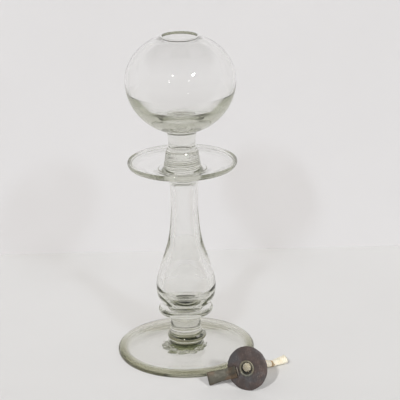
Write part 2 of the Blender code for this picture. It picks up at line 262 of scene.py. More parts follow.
def board(name, corners, material):
    """A flat board with four corners."""
    mesh = bpy.data.meshes.new(name)
    mesh.from_pydata(corners, [], [(0, 1, 2, 3)])
    mesh.materials.append(material)
    return new_object(name, mesh)


def add_floor():
    half = FLOOR_HALF
    floor = board("floor", [(-half, -half, 0), (half, -half, 0), (half, half, 0), (-half, half, 0)],
                  paper("floor_paper", FLOOR_COLOUR, FLOOR_WALL_SHADE))


def add_wall():
    """The white wall behind the lamp.  It casts no shadow: the room behind it is lit as well."""
    left, right, y = -WALL_HALF, WALL_HALF, WALL_BACK
    wall = board("wall", [(left, y, 0), (right, y, 0), (right, y, WALL_HEIGHT),
                          (left, y, WALL_HEIGHT)], paper("wall_paper", WALL_COLOUR))
    wall.visible_shadow = False


def paper(name, colour, far=1.0):
    """Matt white board with faint clouds and a fine grain; its colour is painted darker towards the
    wall, far times as bright at the wall, as painted shade at the wall's foot.

    It is seen only from its lit side, so that the lamp can be looked at from everywhere.
    """
    material = new_material(name)
    n = Nodes(material.node_tree)
    place = n.add("ShaderNodeTexCoord").outputs["Object"]
    cloud = n.add("ShaderNodeTexNoise", {"Vector": place, "Scale": 9.0, "Detail": 5.0}).outputs[0]
    dim = (*[0.985 * c for c in colour], 1.0)
    tone = n.ramp(cloud, [(0.35, dim), (0.65, (*colour, 1.0))])
    # painted shade: the colour darkens from the lamp's front to the wall's foot
    depth = n.add("ShaderNodeSeparateXYZ", {0: place}).outputs["Y"]
    wall_foot_shade = n.add("ShaderNodeMapRange", {"Value": depth, "From Min": -0.05, "From Max": WALL_BACK,
                                          "To Min": 1.0, "To Max": far}).outputs[0]
    tone = n.add("ShaderNodeVectorMath", {0: tone, "Scale": wall_foot_shade}, operation="SCALE").outputs[0]
    grain = n.add("ShaderNodeTexNoise", {"Vector": place, "Scale": 900.0, "Detail": 2.0}).outputs[0]
    bump = n.add("ShaderNodeBump", {"Height": grain, "Distance": 0.05 * MM, "Strength": 0.5})
    shader = n.add("ShaderNodeBsdfPrincipled", {"Base Color": tone, "Roughness": 0.75,
                                                "Specular IOR Level": 0.2,
                                                "Normal": bump.outputs[0]})
    back = n.add("ShaderNodeNewGeometry").outputs["Backfacing"]
    clear = n.add("ShaderNodeBsdfTransparent", {"Color": grey(1.0)})
    n.output(n.add("ShaderNodeMixShader", {0: back, 1: shader.outputs[0],
                                           2: clear.outputs[0]}).outputs[0])
    return material


def set_render_look():
    scene = bpy.context.scene
    scene.view_settings.view_transform = "Standard"
    cycles = scene.cycles
    cycles.max_bounces = 40
    cycles.transmission_bounces = 40
    cycles.glossy_bounces = 24
    cycles.transparent_max_bounces = 64
    cycles.caustics_reflective = False
    cycles.caustics_refractive = False


# ------------------------------------------------------------------ glass

def rim_shade_weight(n, place, rim):
    """How many times faster than its middle a foot or pan fades light: painted shade in its folded
    rim, 1 inside it.
    """
    start, end, front, back = rim
    flat = n.add("ShaderNodeVectorMath", {0: place, 1: (1.0, 1.0, 0.0)}, operation="MULTIPLY")
    far = n.add("ShaderNodeVectorMath", {0: flat.outputs[0]}, operation="LENGTH")
    depth = n.add("ShaderNodeSeparateXYZ", {0: place}).outputs["Y"]
    most = n.add("ShaderNodeMapRange", {"Value": depth, "From Min": -0.6 * start * MM,
                                        "From Max": 0.6 * start * MM, "To Min": front,
                                        "To Max": back}, interpolation_type="SMOOTHSTEP")
    weight = n.add("ShaderNodeMapRange", {"Value": far.outputs["Value"], "From Min": start * MM,
                                          "From Max": end * MM, "To Min": 1.0,
                                          "To Max": most.outputs[0]},
                   interpolation_type="SMOOTHSTEP")
    return weight.outputs[0]


def glass_material(name, shade, fading, rim=None):
    """Clear glass that gets darker and greener the longer a ray runs inside it.

    Its shadow has one even shade.
    """
    material = new_material(name)
    n = Nodes(material.node_tree)
    path = n.add("ShaderNodeLightPath")
    inside = n.add("ShaderNodeNewGeometry").outputs["Backfacing"]
    place = n.add("ShaderNodeTexCoord").outputs["Object"]
    run = path.outputs["Ray Length"]
    # painted shade: in a folded rim the glass fades light faster, most at the front
    if rim:
        run = n.math("MULTIPLY", run, rim_shade_weight(n, place, rim))
    faded = n.add("ShaderNodeVectorMath", {0: tuple(-f for f in fading), "Scale": run},
                  operation="SCALE")
    parts = n.add("ShaderNodeSeparateXYZ", {0: faded.outputs[0]})
    left = [n.math("EXPONENT", parts.outputs[i]) for i in range(3)]
    depth = n.add("ShaderNodeCombineColor", {0: left[0], 1: left[1], 2: left[2]}).outputs[0]
    colour = n.mix(inside, grey(1.0), depth)
    long = n.add("ShaderNodeMapping", {"Vector": place, "Scale": (160.0, 160.0, 45.0)})
    waves = n.add("ShaderNodeTexNoise", {"Vector": long.outputs[0], "Scale": 1.0, "Detail": 2.0})
    bump = n.add("ShaderNodeBump", {"Height": waves.outputs[0], "Distance": GLASS_RIPPLE * MM,
                                    "Strength": 1.0})
    glass = n.add("ShaderNodeBsdfGlass", {"Color": colour, "Roughness": 0.0,
                                          "IOR": GLASS_IOR, "Normal": bump.outputs[0]})
    clear = n.add("ShaderNodeBsdfTransparent", {"Color": (*shade, 1.0)}).outputs[0]
    lit = n.add("ShaderNodeMixShader", {0: path.outputs["Is Shadow Ray"], 1: glass.outputs[0],
                                        2: clear}).outputs[0]
    seen = n.add("ShaderNodeMixShader", {0: path.outputs["Is Diffuse Ray"], 1: lit,
                                         2: clear}).outputs[0]
    n.output(seen)
    return material


def fused_material():
    """The face where two gathers of glass have run together: nothing is seen there."""
    material = new_material("fused_joint")
    n = Nodes(material.node_tree)
    n.output(n.add("ShaderNodeBsdfTransparent", {"Color": grey(1.0)}).outputs[0])
    return material


def bell(x, a, b, c, d):
    """0 before a, 1 from b to c, 0 after d, smooth between."""
    def step(t):
        t = min(max(t, 0.0), 1.0)
        return t * t * (3 - 2 * t)
    return step((x - a) / (b - a)) * (1 - step((x - c) / (d - c)))


def blown(radius, angle, height):
    """Where the point of a perfect turned shape really is: blown glass is never quite round.

    The baluster also stands 0.9 mm to the right of the foot's middle.
    """
    wave = (0.0035 * (1 + sin(2 * angle + 0.02 * height + 0.7))
            + 0.0015 * (1 + sin(3 * angle - 0.03 * height + 2.0)))
    lean = 0.9 * bell(height, 30.0, 45.0, 135.0, 150.0)
    r = radius * (1 - wave)
    return Vector((r * cos(angle) + lean, r * sin(angle), height)) * MM


class Body:
    """Vertices and faces of one piece, with a material slot for each face."""

    def __init__(self):
        self.points = []
        self.faces = []
        self.slots = []

    def ring(self, radius, height, shape):
        """The numbers of a new ring's points; one point on the axis."""
        first = len(self.points)
        if radius < 1e-6:
            self.points.append(shape(0.0, 0.0, height))
            return [first] * AROUND
        for j in range(AROUND):
            self.points.append(shape(radius, 2 * pi * j / AROUND, height))
        return list(range(first, first + AROUND))

    def span(self, upper, lower, slot):
        for j in range(len(upper)):
            k = (j + 1) % len(upper)
            face = [upper[j], lower[j], lower[k], upper[k]]
            face = [v for i, v in enumerate(face) if v not in face[:i]]
            if len(face) > 2:
                self.faces.append(face)
                self.slots.append(slot)

    def turn(self, outline, shape=blown, closed=False):
        """Faces of a turned outline.  Run it down the outside, or up the inside of a hollow."""
        rings = [self.ring(r, z, shape) for r, z in outline]
        for upper, lower in zip(rings, rings[1:]):
            self.span(upper, lower, OWN)
        if closed:
            self.span(rings[-1], rings[0], OWN)
        return rings[0], rings[-1]

    def close(self, ring, height, top):
        """A flat end over a ring, fused to the next piece."""
        middle = self.ring(0.0, height, blown)
        if top:
            self.span(middle, ring, FUSED)
        else:
            self.span(ring, middle, FUSED)

    def loft(self, rings):
        """A skin over rings of points, all of the same count, closed at both ends."""
        numbers = []
        for ring in rings:
            first = len(self.points)
            self.points.extend(ring)
            numbers.append(list(range(first, first + len(ring))))
        for a, b in zip(numbers, numbers[1:]):
            self.span(a, b, OWN)
        for ring, last in ((numbers[0], False), (numbers[-1], True)):
            middle = len(self.points)
            self.points.append(sum((self.points[i] for i in ring), Vector()) / len(ring))
            for j in range(len(ring)):
                pair = [ring[j], ring[(j + 1) % len(ring)]]
                self.faces.append([middle] + (pair[::-1] if last else pair))
                self.slots.append(OWN)

    def seed(self, centre, across, high):
        """A small air bubble, drawn out upwards; its faces look into the air."""
        first = len(self.points)
        levels, round_it = 7, 10
        for i in range(levels):
            b = pi * (i + 0.5) / levels - pi / 2
            for j in range(round_it):
                a = 2 * pi * j / round_it
                spot = Vector((across * cos(b) * cos(a), across * cos(b) * sin(a), high * sin(b)))
                self.points.append((Vector(centre) + spot) * MM)
        starts = [first + round_it * i for i in range(levels)]
        rows = [list(range(start, start + round_it)) for start in starts]
        for lower, upper in zip(rows, rows[1:]):
            self.span(lower, upper, OWN)
        self.faces += [rows[0], rows[-1][::-1]]
        self.slots += [OWN, OWN]

    def make(self, name, materials, place=None):
        """The finished object.

        Its points' own coordinates are kept for its material before it is put in place.
        """
        mesh = bpy.data.meshes.new(name)
        mesh.from_pydata([tuple(p) for p in self.points], [], self.faces)
        for material in materials:
            mesh.materials.append(material)
        mesh.polygons.foreach_set("material_index", self.slots)
        mesh.shade_smooth()
        own = mesh.attributes.new("own_place", "FLOAT_VECTOR", "POINT")
        own.data.foreach_set("vector", [value for point in self.points for value in point])
        if place:
            mesh.transform(place)
        return new_object(name, mesh)


# Where the fused pieces meet: radius and height of each joint, in mm
SCAR_JOINT = (12.0, 2.9)
FOOT_JOINT = (12.4, 11.1)
KNOP_JOINT = (13.0, 16.2)
MERESE_JOINT = (11.7, 33.1)
STEM_JOINT = (12.6, 38.6)
WAFER_JOINT = (11.3, 139.75)
PAN_JOINT = (13.8, 145.5)
COLLAR_JOINT = (18.0, 148.85)
NECK_JOINT = (10.3, 163.75)
FONT_JOINT = (12.4, 178.55)

# The globe, in mm, and the height of its widest point
GLOBE_MIDDLE = 216.2
GLOBE_RADIUS = 41.0
WALL_MIDDLE = (40.2, 34.6)     # half width and rise of the surface halfway through its wall
# Its cavity, whose lower half is one ellipse for the side and another for the floor
CAVITY_RADIUS = 39.5
SIDE_DEPTH = 34.0
CAVITY_LOW = 185.6             # height of the floor
LOW_RADIUS = 39.3              # half width of the floor's ellipse


def between(top, knots, bottom, per_span=4):
    """A smooth outline from one joint down to the next."""
    return smooth_run([top] + knots + [bottom], per_span)


def fused_piece(name, outline, top=True, bottom=True, hollows=(), shape=blown, glass="glass",
                seeds=()):
    """A gather of glass, with a fused end at its top and bottom, hollows and small bubbles."""
    body = Body()
    outline = [tuple(p) for p in outline]
    if top:
        outline.insert(0, (outline[0][0], outline[0][1] + JOINT_LAP))
    if bottom:
        outline.append((outline[-1][0], outline[-1][1] - JOINT_LAP))
    first, last = body.turn(outline, shape)
    if top:
        body.close(first, outline[0][1], True)
    if bottom:
        body.close(last, outline[-1][1], False)
    for hollow in hollows:
        body.turn(hollow)
    for centre, across, high in seeds:
        body.seed(centre, across, high)
    piece = body.make(name, [MATERIAL[glass], MATERIAL["fused"]])
    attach(piece, "lamp")
    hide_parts(name)
    return piece


def scattered(count, number, low, high, size):
    """Air bubbles at seeded places all round the axis; low and high are (radius, height)."""
    draw = Random(number)
    seeds = []
    for _ in range(count):
        r = draw.uniform(low[0], high[0])
        a = draw.uniform(0, 2 * pi)
        wide = size * draw.uniform(0.5, 1.0)
        centre = (r * cos(a), r * sin(a), draw.uniform(low[1], high[1]))
        seeds.append((centre, wide, wide * draw.uniform(1.0, 2.4)))
    return seeds


def in_the_wall(count, number, size):
    """Flat bubbles in the globe's wall."""
    draw = Random(number)
    seeds = []
    for _ in range(count):
        lift = radians(draw.uniform(-25, 50))
        a = draw.uniform(0, 2 * pi)
        r = WALL_MIDDLE[0] * cos(lift)
        centre = (r * cos(a), r * sin(a), GLOBE_MIDDLE + WALL_MIDDLE[1] * sin(lift))
        wide = size * draw.uniform(0.5, 1.0)
        seeds.append((centre, wide, wide))
    return seeds


def foot_disc():
    line = smooth_run([FOOT_JOINT, (12.1, 10.0), (12.4, 8.6), (13.6, 7.3), (16.2, 6.6),
                       (20.0, 6.3), (30.0, 5.75), (38.0, 5.7), (43.0, 5.9), (46.0, 6.2),
                       (49.0, 6.5), (51.2, 6.1), (52.6, 4.7), (52.9, 3.0), (52.2, 1.2),
                       (50.6, 0.25), (48.6, 0.05), (46.4, 0.1), (40.0, 0.6), (30.0, 1.5),
                       (20.0, 2.35), SCAR_JOINT], 6)
    fold = arc((48.4, 3.0), (2.0, 0.12), 0, 360, 20)
    return fused_piece("foot_disc", line, hollows=[fold], glass="foot",
                       seeds=scattered(40, 8, (16.0, 3.4), (44.0, 4.8), 0.24))


def pontil_scar():
    """Glass left by the pontil iron: a ragged ring of lumps that broke away from the middle."""
    def ragged(radius, angle, height):
        spot = Vector((cos(angle), sin(angle), 0.0)) * radius
        deep = min(max((SCAR_JOINT[1] - height) / 1.6, 0.0), 1.0)
        lump = noise.noise(spot * 0.22 + Vector((3.1, 0.4, 0.25 * height)))
        chip = noise.cell(spot * 0.45 + Vector((0.0, 9.0, 0.5 * height)))
        spread = 1.0 + deep * (0.16 - 0.14 * cos(angle) + 0.45 * lump + 0.10 * chip)
        z = height + deep * (0.9 * chip + 0.8 * lump)
        return Vector((spot.x * spread, spot.y * spread, min(max(z, 0.0), SCAR_JOINT[1]))) * MM
    ring = smooth_run([SCAR_JOINT, (12.3, 2.4), (12.8, 1.7), (12.6, 0.8), (11.6, 0.2), (9.8, 0.0),
                       (8.0, 0.3), (6.6, 0.9), (4.0, 1.3), (0.0, 1.2)], 5)
    return fused_piece("pontil_scar", ring, bottom=False, shape=ragged, glass="scar")


def base_knop():
    def lumpy(radius, angle, height):
        out = max(radius - FOOT_JOINT[0], 0.0) * (0.30 * cos(angle) - 0.12)
        return blown(radius + out, angle, height)
    run = between(KNOP_JOINT, [(14.3, 15.7), (15.1, 14.5), (15.2, 13.4), (14.7, 12.3),
                               (13.4, 11.5)], FOOT_JOINT, 6)
    return fused_piece("base_knop", run, shape=lumpy)


def base_stem():
    run = between(MERESE_JOINT, [(11.5, 29.5), (11.6, 24.5), (12.2, 20.0)], KNOP_JOINT, 8)
    return fused_piece("base_stem", run, seeds=scattered(12, 3, (1.0, 18.5), (9.5, 31.0), 0.35))


def stem_flange():
    edge = arc((18.8, 36.15), (2.2, 2.35), 105, -80, 24)
    return fused_piece("stem_flange", [STEM_JOINT, (13.4, 38.3), (15.0, 38.2), (16.8, 38.35)] + edge
                       + [(16.8, 34.0), (14.0, 33.7), (12.2, 33.45), MERESE_JOINT])


def baluster_stem():
    outside = between(WAFER_JOINT, [(10.6, 134.5), (10.4, 125.0), (10.3, 117.0), (10.9, 107.5),
                                    (11.8, 99.0), (13.3, 91.0), (15.6, 83.0), (18.3, 75.0),
                                    (20.9, 66.8), (22.6, 59.0), (22.8, 53.5), (22.0, 47.5),
                                    (19.6, 43.0), (15.8, 40.2)], STEM_JOINT, 5)
    bottom = [(0.0, 43.0), (3.0, 43.1)] + arc((0.0, 56.0), (18.0, 13.0), -72, 0, 16)
    bubble = bottom[:-1] + smooth_run([bottom[-1], (16.8, 63.0), (14.2, 70.0), (11.9, 77.0),
                                       (9.9, 85.0), (8.6, 93.0), (7.6, 101.0), (7.0, 110.0),
                                       (6.8, 120.0), (6.8, 130.0), (6.5, 136.5), (4.0, 139.1),
                                       (0.0, 139.4)], 5)
    return fused_piece("baluster_stem", outside, hollows=[bubble],
                       seeds=scattered(14, 6, (18.9, 50.0), (21.6, 58.0), 0.22)
                       + scattered(16, 7, (8.0, 104.0), (9.6, 134.0), 0.18))


def pan_wafer():
    run = between(PAN_JOINT, [(12.3, 144.3), (11.9, 142.4), (12.3, 141.2)], WAFER_JOINT, 6)
    return fused_piece("pan_wafer", run)


def drip_pan():
    line = between(COLLAR_JOINT, [(22.0, 148.95), (26.0, 149.6), (32.0, 151.2), (36.0, 153.0),
                                  (39.0, 154.8), (40.4, 155.2), (41.1, 154.3), (41.05, 153.4),
                                  (40.5, 151.9), (39.2, 150.9), (37.0, 150.2), (34.5, 149.4),
                                  (32.0, 148.5), (28.0, 147.2), (24.0, 146.4), (18.0, 145.65)],
                   PAN_JOINT, 6)
    fold = arc((38.9, 152.7), (0.9, 0.12), 0, 360, 16)
    return fused_piece("drip_pan", line, hollows=[fold], glass="pan")


def pan_collar():
    def tooled(radius, angle, height):
        marks = 0.09 * sin(height * 5.0 + 0.6 * sin(2 * angle))
        marks *= bell(height, 150.6, 151.6, 158.0, 160.5)
        return blown(radius + marks, angle, height)
    run = between(NECK_JOINT, [(11.6, 163.45), (12.25, 162.6), (12.45, 161.0), (12.8, 158.0),
                               (13.3, 155.0), (13.8, 152.4), (13.85, 151.0), (14.0, 150.0),
                               (14.7, 149.4), (16.0, 149.1)], COLLAR_JOINT, 10)
    return fused_piece("pan_collar", run, shape=tooled,
                       seeds=scattered(26, 4, (3.0, 151.5), (11.0, 161.5), 0.32))


def font_neck():
    run = between(FONT_JOINT, [(11.5, 177.4), (10.8, 175.6), (10.3, 172.6), (10.1, 169.0)],
                  NECK_JOINT, 6)
    pocket = [(0.0, 166.7), (4.0, 165.8), (7.4, 165.0), (7.9, 165.1), (7.4, 165.5), (4.0, 166.6),
              (0.0, 167.7)]
    return fused_piece("font_neck", run, hollows=[pocket])


def globe_line(radius, rise, depth, start, end, steps):
    """The globe's side from its shoulder down: one ellipse above its middle, another below."""
    upper = arc((0.0, GLOBE_MIDDLE), (radius, rise), start, 0, steps)
    lower = arc((0.0, GLOBE_MIDDLE), (radius, depth), 0, end, steps)
    return upper + lower[1:]


def font_globe():
    outside = globe_line(GLOBE_RADIUS, 35.3, 39.4, 60.8, -71, 30)
    lip = smooth_run([(12.65, 249.1), (12.95, 249.75), (13.6, 249.97), (14.5, 249.7), (16.0, 249.0),
                      (18.0, 248.05), outside[0]], 4)
    inside = globe_line(CAVITY_RADIUS, 34.0, SIDE_DEPTH, 65.0, -12, 24)
    cavity = [(0.0, CAVITY_LOW), (4.0, CAVITY_LOW + 0.05)] + arc(
        (0.0, GLOBE_MIDDLE), (LOW_RADIUS, GLOBE_MIDDLE - CAVITY_LOW), -80, -30, 24) + [inside[-1]]
    ceiling = smooth_run([inside[0], (14.4, 247.8), (13.2, 248.0), (12.7, 248.4), (12.6, 248.8),
                          (12.65, 249.1)], 5)
    outline = cavity[:-1] + inside[::-1] + ceiling[1:-1] + lip + outside[1:] + [FONT_JOINT]
    return fused_piece("font_globe", outline, top=False, seeds=in_the_wall(34, 9, 0.26)
                       + scattered(20, 2, (2.0, 180.5), (12.0, 184.5), 0.3))


def build_glass():
    pontil_scar()
    foot_disc()
    base_knop()
    base_stem()
    stem_flange()
    baluster_stem()
    pan_wafer()
    drip_pan()
    pan_collar()
    font_neck()
    font_globe()


# ------------------------------------------------------------------ burner

# In mm, in the burner's own frame
DISC_RADIUS = 16.4
DISC_MIDDLE = 0.95             # how far the disc's edge lies behind the plane of its face
TUBE_BORE = 4.5
TUBE_OUTER = 5.0
TUBE_BACK = -17.2
TAB_SINK = 0.4                 # the tab's middle line passes this far under the disc's
TAB_TURN = radians(204.0)


def burner_frame():
    """The burner's own frame: X across its disc, Y up it, Z out of its front."""
    feed = [joint for joint in frame["joints"] if joint["name"] == "wick_feed"][0]
    front = Vector(feed["axis"]).normalized()
    across = Vector((-front.y, front.x, 0.0)).normalized()
    low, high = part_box("burner_disc")
    matrix = Matrix((across, front.cross(across), front)).transposed().to_4x4()
    matrix.translation = (Vector(low) + Vector(high)) / 2 + front * DISC_MIDDLE * MM
    return matrix


def iron_material(name, dark, warm, cool, pale, along=(1.0, 1.0, 1.0), roughness=0.5):
    """Old tinned sheet iron: brown and blue-grey patches, rubbed spots, pits and scratches."""
    material = new_material(name)
    n = Nodes(material.node_tree)
    place = n.add("ShaderNodeAttribute", attribute_name="own_place").outputs["Vector"]
    drawn = n.add("ShaderNodeMapping", {"Vector": place, "Scale": along}).outputs[0]
    patch = n.add("ShaderNodeTexNoise", {"Vector": drawn, "Scale": 130.0, "Detail": 4.0,
                                         "Roughness": 0.6}).outputs[0]
    tone = n.add("ShaderNodeTexNoise", {"Vector": place, "Scale": 75.0, "Detail": 2.0}).outputs[0]
    fine = n.add("ShaderNodeTexNoise", {"Vector": drawn, "Scale": 900.0, "Detail": 5.0,
                                        "Roughness": 0.7}).outputs[0]
    lines = n.add("ShaderNodeMapping", {"Vector": place, "Scale": (2400.0, 170.0, 170.0),
                                        "Rotation": (0.0, 0.0, 0.9)}).outputs[0]
    scratch = n.add("ShaderNodeTexNoise", {"Vector": lines, "Scale": 1.0, "Detail": 1.0}).outputs[0]
    colour = n.mix(n.ramp(patch, [(0.40, grey(0.0)), (0.60, grey(1.0))]), dark, warm)
    colour = n.mix(n.ramp(tone, [(0.50, grey(0.0)), (0.62, grey(1.0))]), colour, cool)
    rubbed = n.math("MULTIPLY", n.ramp(fine, [(0.56, grey(0.0)), (0.68, grey(1.0))]),
                    n.ramp(patch, [(0.48, grey(0.1)), (0.62, grey(0.9))]))
    worn = n.math("MAXIMUM", rubbed, n.ramp(scratch, [(0.66, grey(0.0)), (0.72, grey(0.55))]))
    colour = n.mix(worn, colour, pale)
    dull = n.add("ShaderNodeMapRange", {"Value": fine, "From Min": 0.3, "From Max": 0.7,
                                        "To Min": roughness + 0.14, "To Max": roughness - 0.12})
    pits = n.math("ADD", n.math("MULTIPLY", fine, 0.6), n.math("MULTIPLY", scratch, -0.25))
    bump = n.add("ShaderNodeBump", {"Height": n.math("ADD", pits, patch), "Distance": 0.12 * MM,
                                    "Strength": 0.8})
    shader = n.add("ShaderNodeBsdfPrincipled", {"Base Color": colour, "Metallic": 0.6,
                                                "Roughness": dull.outputs[0],
                                                "Normal": bump.outputs[0]})
    n.output(shader.outputs[0])
    return material


def burner_piece(body, name, material, place):
    """Stand a piece made in the burner's frame on the burner."""
    piece = body.make(name, [MATERIAL[material]], place)
    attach(piece, "burner")
    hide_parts(name)
    return piece


def pressed(radius, angle, height):
    """A point of the disc: cut round with snips, dished and a little dented."""
    spot = Vector((cos(angle), sin(angle), 0.0))
    uneven = 0.011 * (1 + noise.noise(spot * 2.6 + Vector((0.0, 0.0, 3.0))))
    r = radius * (1 - uneven * (radius / DISC_RADIUS) ** 8)
    dent = 0.22 * noise.noise(spot * r * 0.17 + Vector((5.0, 1.0, 0.0)))
    dent += 0.07 * noise.noise(spot * r * 0.55)
    dent *= bell(radius, TUBE_OUTER, 9.0, 12.0, DISC_RADIUS + 1.0)
    return Vector((r * cos(angle), r * sin(angle), height + dent)) * MM


def plain(radius, angle, height):
    return Vector((radius * cos(angle), radius * sin(angle), height)) * MM


def burner_disc(place):
    face = smooth_run([(5.35, -0.12), (5.6, 0.0), (8.5, 0.0), (11.8, -0.03), (14.2, -0.2),
                       (15.6, -0.42), (16.2, -0.62), (DISC_RADIUS, -DISC_MIDDLE), (16.15, -1.28),
                       (15.5, -1.36), (14.2, -1.12), (11.8, -0.92), (8.5, -0.9), (5.6, -0.9),
                       (5.35, -0.8)], 4)
    body = Body()
    body.turn(face, pressed, closed=True)
    burner_piece(body, "burner_disc", "disc", place)


def wick_tube(place):
    """A rolled tube.  Its front end is hammered out over the disc, and its seam shows."""
    def rolled(radius, angle, height):
        seam = 0.16 * bell(angle, 4.05, 4.1, 4.13, 4.18)
        seam *= bell(height, TUBE_BACK - 1, TUBE_BACK, -1.5, -0.6)
        spot = Vector((2 * cos(angle), 2 * sin(angle), 0))
        flare = 0.35 * max(radius - TUBE_OUTER, 0.0) * noise.noise(spot)
        return plain(radius - seam - abs(flare), angle, height - 0.25 * abs(flare))
    wall = smooth_run([(TUBE_BORE, 0.45), (4.75, 0.72), (5.3, 0.82), (5.9, 0.66), (6.15, 0.36),
                       (5.7, 0.24), (5.1, 0.2), (TUBE_OUTER, -0.4), (TUBE_OUTER, -6.0),
                       (TUBE_OUTER, -12.0), (TUBE_OUTER, -17.0), (4.75, TUBE_BACK),
                       (TUBE_BORE, -17.0), (TUBE_BORE, -12.0), (TUBE_BORE, -6.0),
                       (TUBE_BORE, -0.6)], 4)
    body = Body()
    body.turn(wall, rolled, closed=True)
    burner_piece(body, "wick_tube", "tube", place)


def tube_solder(place):
    def run_out(radius, angle, height):
        spot = Vector((cos(angle), sin(angle), 0.2 * height))
        swell = max(radius - 5.4, 0.0) * (0.25 * noise.noise(spot * 2.3) - 0.1)
        return plain(radius + swell, angle, height)
    fillet = smooth_run([(5.3, -1.22), (7.3, -1.2), (7.5, -1.35), (6.6, -1.8), (5.9, -2.6),
                         (5.5, -3.5), (5.3, -3.6)], 4)
    body = Body()
    body.turn(fillet, run_out, closed=True)
    burner_piece(body, "tube_solder", "solder", place)


def burner_handle(place):
    """The tab: a strip bent forward off the disc, with its end turned back as a finger grip."""
    line = evenly(smooth_run([(8.6, 0.75), (12.4, 0.75), (15.4, 1.2), (22.0, 3.3), (29.0, 5.4),
                              (30.2, 5.0), (30.5, 3.8)], 10), 72)
    body = Body()
    rings = []
    for i, point in enumerate(line):
        ahead = line[min(i + 1, len(line) - 1)] - line[max(i - 1, 0)]
        ahead.normalize()
        off = Vector((-ahead.y, ahead.x))
        t = i / (len(line) - 1)
        half = 4.55 + 0.45 * bell(t, 0.62, 0.9, 2.0, 3.0) - 0.25 * bell(t, 0.1, 0.3, 0.5, 0.75)
        ring = []
        for across, lift in strip_section(half, 0.4):
            curl = 0.35 * (across / half) ** 2 * bell(t, 0.3, 0.5, 0.85, 1.0)
            ripple = 0.10 * noise.noise(Vector((point.x * 0.3, across * 0.5, 1.7)))
            ragged = 0.16 * noise.noise(Vector((point.x * 0.7, 0.2 * across, 8.0)))
            away = lift + ripple - curl
            ring.append(Vector((point.x + off.x * away, across * (1 + ragged / half),
                                point.y + off.y * away)) * MM)
        rings.append(ring)
    body.loft(rings)
    burner_piece(body, "burner_handle", "handle", place)


def strip_section(half_width, half_thickness):
    """Points round a flat bar's section with rounded edges: (across, off the middle plane)."""
    flat = half_width - half_thickness
    steps = 14
    left = arc((0, 0), (1, half_thickness), 126, 234, 3)
    right = arc((0, 0), (1, half_thickness), -54, 54, 3)
    points = [(flat - 2 * flat * i / steps, half_thickness) for i in range(steps + 1)]
    points += [(-flat + half_thickness * x, z) for x, z in left]
    points += [(-flat + 2 * flat * i / steps, -half_thickness) for i in range(steps + 1)]
    points += [(flat + half_thickness * x, z) for x, z in right]
    return points


def handle_solder(place):
    """A low bead of solder along the tab's inner end."""
    body = Body()
    rings = []
    for i in range(25):
        t = -1 + 2 * i / 24
        size = (1 - abs(t) ** 3.0) ** 0.5 * 0.97 + 0.03
        lump = 1 + 0.25 * noise.noise(Vector((t * 3.0, 4.0, 0.0)))
        ring = []
        for x, z in arc((0, 0), (0.78 * size * lump, 0.42 * size), 0, 345, 23):
            ring.append(Vector((7.5 + x, 3.5 * t, 0.74 + z)) * MM)
        rings.append(ring)
    body.loft(rings)
    burner_piece(body, "handle_solder", "bead", place)


def build_burner():
    burner_disc(BURNER)
    wick_tube(BURNER)
    tube_solder(BURNER)
    tab = BURNER @ Matrix.Translation((0, -TAB_SINK * MM, 0)) @ Matrix.Rotation(TAB_TURN, 4, "Z")
    burner_handle(tab)
    handle_solder(tab)


# ------------------------------------------------------------------ wick

# In mm, in the lamp's frame
WICK_OFFSET = 0.9              # the wick rides high in the tube
WICK_RADIUS = 3.0
YARN_STRANDS = 7
YARN_PITCH = 15.0              # length of one full twist
YARN_POINTS = 84               # points round the yarn
TAIL_ROUTE = [                 # from just behind the tube, down and over the table
    (57.4, -46.2, 8.9), (59.2, -43.0, 7.3), (60.8, -40.1, 5.6), (62.5, -37.5, 4.2),
    (64.5, -35.1, 3.4), (67.1, -32.9, 3.1), (70.1, -30.9, 3.1), (73.4, -29.0, 3.4),
    (76.6, -27.4, 4.0),
]
TAIL_STRAIGHT = 4.5            # it leaves the tube straight for this far
TAIL_STEP = 0.4                # distance between the points of its centre line
TAIL_CUT = 5                   # points cut off its far end
THREAD_AT = 22.6               # how far along the tail the thread is bound
THREAD_PITCH = 1.1
THREAD_RADIUS = 0.30


def wick_start():
    """The wick's front end and the direction it runs back in, both in mm."""
    back = -(BURNER.to_3x3() @ Vector((0.0, 0.0, 1.0)))
    return (BURNER @ Vector((0.0, WICK_OFFSET * MM, 0.0))) / MM, back


def tail_line():
    """The tail's centre line as points one step apart, in mm."""
    start, back = wick_start()
    leave = start - back * TUBE_BACK
    knots = [leave, leave + back * TAIL_STRAIGHT] + [Vector(p) for p in TAIL_ROUTE]
    line = smooth_run(knots, 12)
    return evenly(line, int(line_length(line) / TAIL_STEP))[:-TAIL_CUT]


def frames_along(line):
    """Each point of a line with its direction, and a side and an up that don't twist about it."""
    result = []
    up = Vector((0.0, 0.0, 1.0))
    for i, point in enumerate(line):
        along = (line[min(i + 1, len(line) - 1)] - line[max(i - 1, 0)]).normalized()
        side = along.cross(up).normalized()
        up = side.cross(along)
        result.append((point, along, side, up))
    return result


def yarn_rings(line, radius, seed):
    """Rings of a loosely twisted bundle of strands along a line.

    radius(far) gives its half width and half height that far along.
    """
    rings = []
    far = 0.0
    before = line[0]
    for point, along, side, up in frames_along(line):
        far += (point - before).length
        before = point
        ring = []
        for j in range(YARN_POINTS):
            a = 2 * pi * j / YARN_POINTS
            lay = YARN_STRANDS * (a - 2 * pi * far / YARN_PITCH) / 2
            wide, high = radius(far)
            groove = 0.86 + 0.14 * abs(cos(lay)) ** 0.6
            rough = noise.noise(Vector((3 * cos(a), 3 * sin(a), far * 0.9 + seed)))
            fuzz = noise.noise(Vector((11 * cos(a), 11 * sin(a), far * 2.5 + seed)))
            size = groove + 0.05 * rough + 0.035 * fuzz
            ring.append((point + side * cos(a) * wide * size + up * sin(a) * high * size) * MM)
        rings.append(ring)
    return rings


